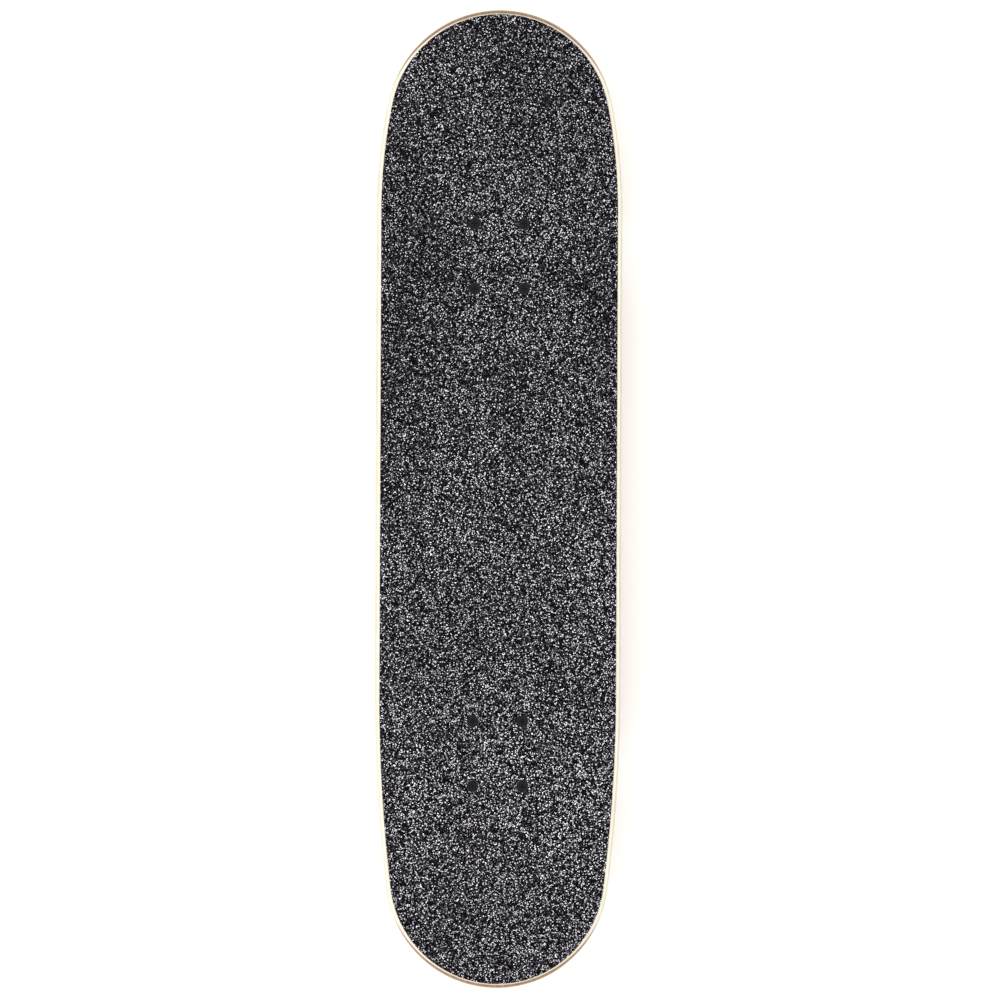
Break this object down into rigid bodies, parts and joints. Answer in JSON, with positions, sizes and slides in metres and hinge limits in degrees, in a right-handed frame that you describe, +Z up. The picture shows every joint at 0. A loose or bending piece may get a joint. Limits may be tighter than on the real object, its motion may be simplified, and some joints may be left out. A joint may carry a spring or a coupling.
{
  "type": "skateboard",
  "caption": "Popsicle-shaped skateboard: a grip-covered laminated maple deck with upturned ends on two sprung trucks and urethane wheels.",
  "frame": {"origin": "on the ground under the middle of the board's length, on its centre line", "axes": "+Y towards the nose, +Z up, +X to the rider's right when looking at the nose from the tail"},
  "size_m": [0.2032, 0.8064, 0.1366],
  "materials": {
    "grip": "matt abrasive grit",
    "maple_face": "lacquered",
    "maple_core": "sanded",
    "maple_cross": "sanded",
    "cast_aluminium": "tumbled casting",
    "zinc_steel": "zinc plated",
    "black_steel": "black oxide",
    "bearing_steel": "ground",
    "shield_rubber": "satin",
    "cage_nylon": "moulded",
    "bushing_firm": "cast urethane",
    "cup_urethane": "moulded urethane",
    "wheel_urethane": "cast urethane"
  },
  "bodies": {
    "board": {"grip_tape": "grip", "deck_ply_1_top": "maple_face", "deck_ply_2_long_grain": "maple_core", "deck_ply_3_cross_grain": "maple_cross", "deck_ply_4_core": "maple_face", "deck_ply_5_cross_grain": "maple_cross", "deck_ply_6_long_grain": "maple_core", "deck_ply_7_bottom": "maple_face", "front_baseplate": "cast_aluminium", "front_pivot_cup": "cup_urethane", "front_kingpin": "zinc_steel", "front_kingpin_nut": "zinc_steel", "front_boardside_washer": "zinc_steel", "front_roadside_washer": "zinc_steel", "front_boardside_bushing": "bushing_firm", "front_roadside_bushing": "bushing_firm", "front_mounting_bolts": "black_steel", "front_mounting_nuts": "black_steel", "rear_baseplate": "cast_aluminium", "rear_pivot_cup": "cup_urethane", "rear_kingpin": "zinc_steel", "rear_kingpin_nut": "zinc_steel", "rear_boardside_washer": "zinc_steel", "rear_roadside_washer": "zinc_steel", "rear_boardside_bushing": "bushing_firm", "rear_roadside_bushing": "bushing_firm", "rear_mounting_bolts": "black_steel", "rear_mounting_nuts": "black_steel"},
    "front_hanger": {"front_hanger": "cast_aluminium", "front_axle": "zinc_steel", "front_axle_nuts": "zinc_steel", "front_speed_washers": "zinc_steel", "front_bearing_spacers": "zinc_steel", "front_bearing_inner_rings": "bearing_steel"},
    "rear_hanger": {"rear_hanger": "cast_aluminium", "rear_axle": "zinc_steel", "rear_axle_nuts": "zinc_steel", "rear_speed_washers": "zinc_steel", "rear_bearing_spacers": "zinc_steel", "rear_bearing_inner_rings": "bearing_steel"},
    "front_right_wheel": {"front_right_wheel": "wheel_urethane", "front_right_bearing_outer_rings": "bearing_steel", "front_right_bearing_shields": "shield_rubber"},
    "front_right_cage": {"front_right_bearing_cages": "cage_nylon", "front_right_bearing_balls": "bearing_steel"},
    "front_left_wheel": {"front_left_wheel": "wheel_urethane", "front_left_bearing_outer_rings": "bearing_steel", "front_left_bearing_shields": "shield_rubber"},
    "front_left_cage": {"front_left_bearing_cages": "cage_nylon", "front_left_bearing_balls": "bearing_steel"},
    "rear_right_wheel": {"rear_right_wheel": "wheel_urethane", "rear_right_bearing_outer_rings": "bearing_steel", "rear_right_bearing_shields": "shield_rubber"},
    "rear_right_cage": {"rear_right_bearing_cages": "cage_nylon", "rear_right_bearing_balls": "bearing_steel"},
    "rear_left_wheel": {"rear_left_wheel": "wheel_urethane", "rear_left_bearing_outer_rings": "bearing_steel", "rear_left_bearing_shields": "shield_rubber"},
    "rear_left_cage": {"rear_left_bearing_cages": "cage_nylon", "rear_left_bearing_balls": "bearing_steel"}
  },
  "joints": [
    {"name": "front_steer", "type": "hinge", "parent": "board", "child": "front_hanger", "pos_m": [0, 0.22964, 0.0665], "axis": [0, 0.8871, 0.4616], "range_deg": [-12, 12], "stiffness_Nm_per_rad": 45, "deforming": ["front_boardside_bushing", "front_roadside_bushing"]},
    {"name": "rear_steer", "type": "hinge", "parent": "board", "child": "rear_hanger", "pos_m": [0, -0.23914, 0.0665], "axis": [0, -0.8871, 0.4616], "range_deg": [-12, 12], "stiffness_Nm_per_rad": 45, "deforming": ["rear_boardside_bushing", "rear_roadside_bushing"]},
    {"name": "front_right_wheel_spin", "type": "hinge", "parent": "front_hanger", "child": "front_right_wheel", "pos_m": [0.0799, 0.20864, 0.026], "axis": [1, 0, 0], "continuous": true},
    {"name": "front_right_cage_orbit", "type": "hinge", "parent": "front_hanger", "child": "front_right_cage", "pos_m": [0.0799, 0.20864, 0.026], "axis": [1, 0, 0], "continuous": true},
    {"name": "front_left_wheel_spin", "type": "hinge", "parent": "front_hanger", "child": "front_left_wheel", "pos_m": [-0.0799, 0.20864, 0.026], "axis": [1, 0, 0], "continuous": true},
    {"name": "front_left_cage_orbit", "type": "hinge", "parent": "front_hanger", "child": "front_left_cage", "pos_m": [-0.0799, 0.20864, 0.026], "axis": [1, 0, 0], "continuous": true},
    {"name": "rear_right_wheel_spin", "type": "hinge", "parent": "rear_hanger", "child": "rear_right_wheel", "pos_m": [0.0799, -0.21814, 0.026], "axis": [1, 0, 0], "continuous": true},
    {"name": "rear_right_cage_orbit", "type": "hinge", "parent": "rear_hanger", "child": "rear_right_cage", "pos_m": [0.0799, -0.21814, 0.026], "axis": [1, 0, 0], "continuous": true},
    {"name": "rear_left_wheel_spin", "type": "hinge", "parent": "rear_hanger", "child": "rear_left_wheel", "pos_m": [-0.0799, -0.21814, 0.026], "axis": [1, 0, 0], "continuous": true},
    {"name": "rear_left_cage_orbit", "type": "hinge", "parent": "rear_hanger", "child": "rear_left_cage", "pos_m": [-0.0799, -0.21814, 0.026], "axis": [1, 0, 0], "continuous": true}
  ],
  "couplings": [
    {"joint": "front_right_cage_orbit", "follows": "front_right_wheel_spin", "ratio": 0.6323},
    {"joint": "front_left_cage_orbit", "follows": "front_left_wheel_spin", "ratio": 0.6323},
    {"joint": "rear_right_cage_orbit", "follows": "rear_right_wheel_spin", "ratio": 0.6323},
    {"joint": "rear_left_cage_orbit", "follows": "rear_left_wheel_spin", "ratio": 0.6323}
  ]
}
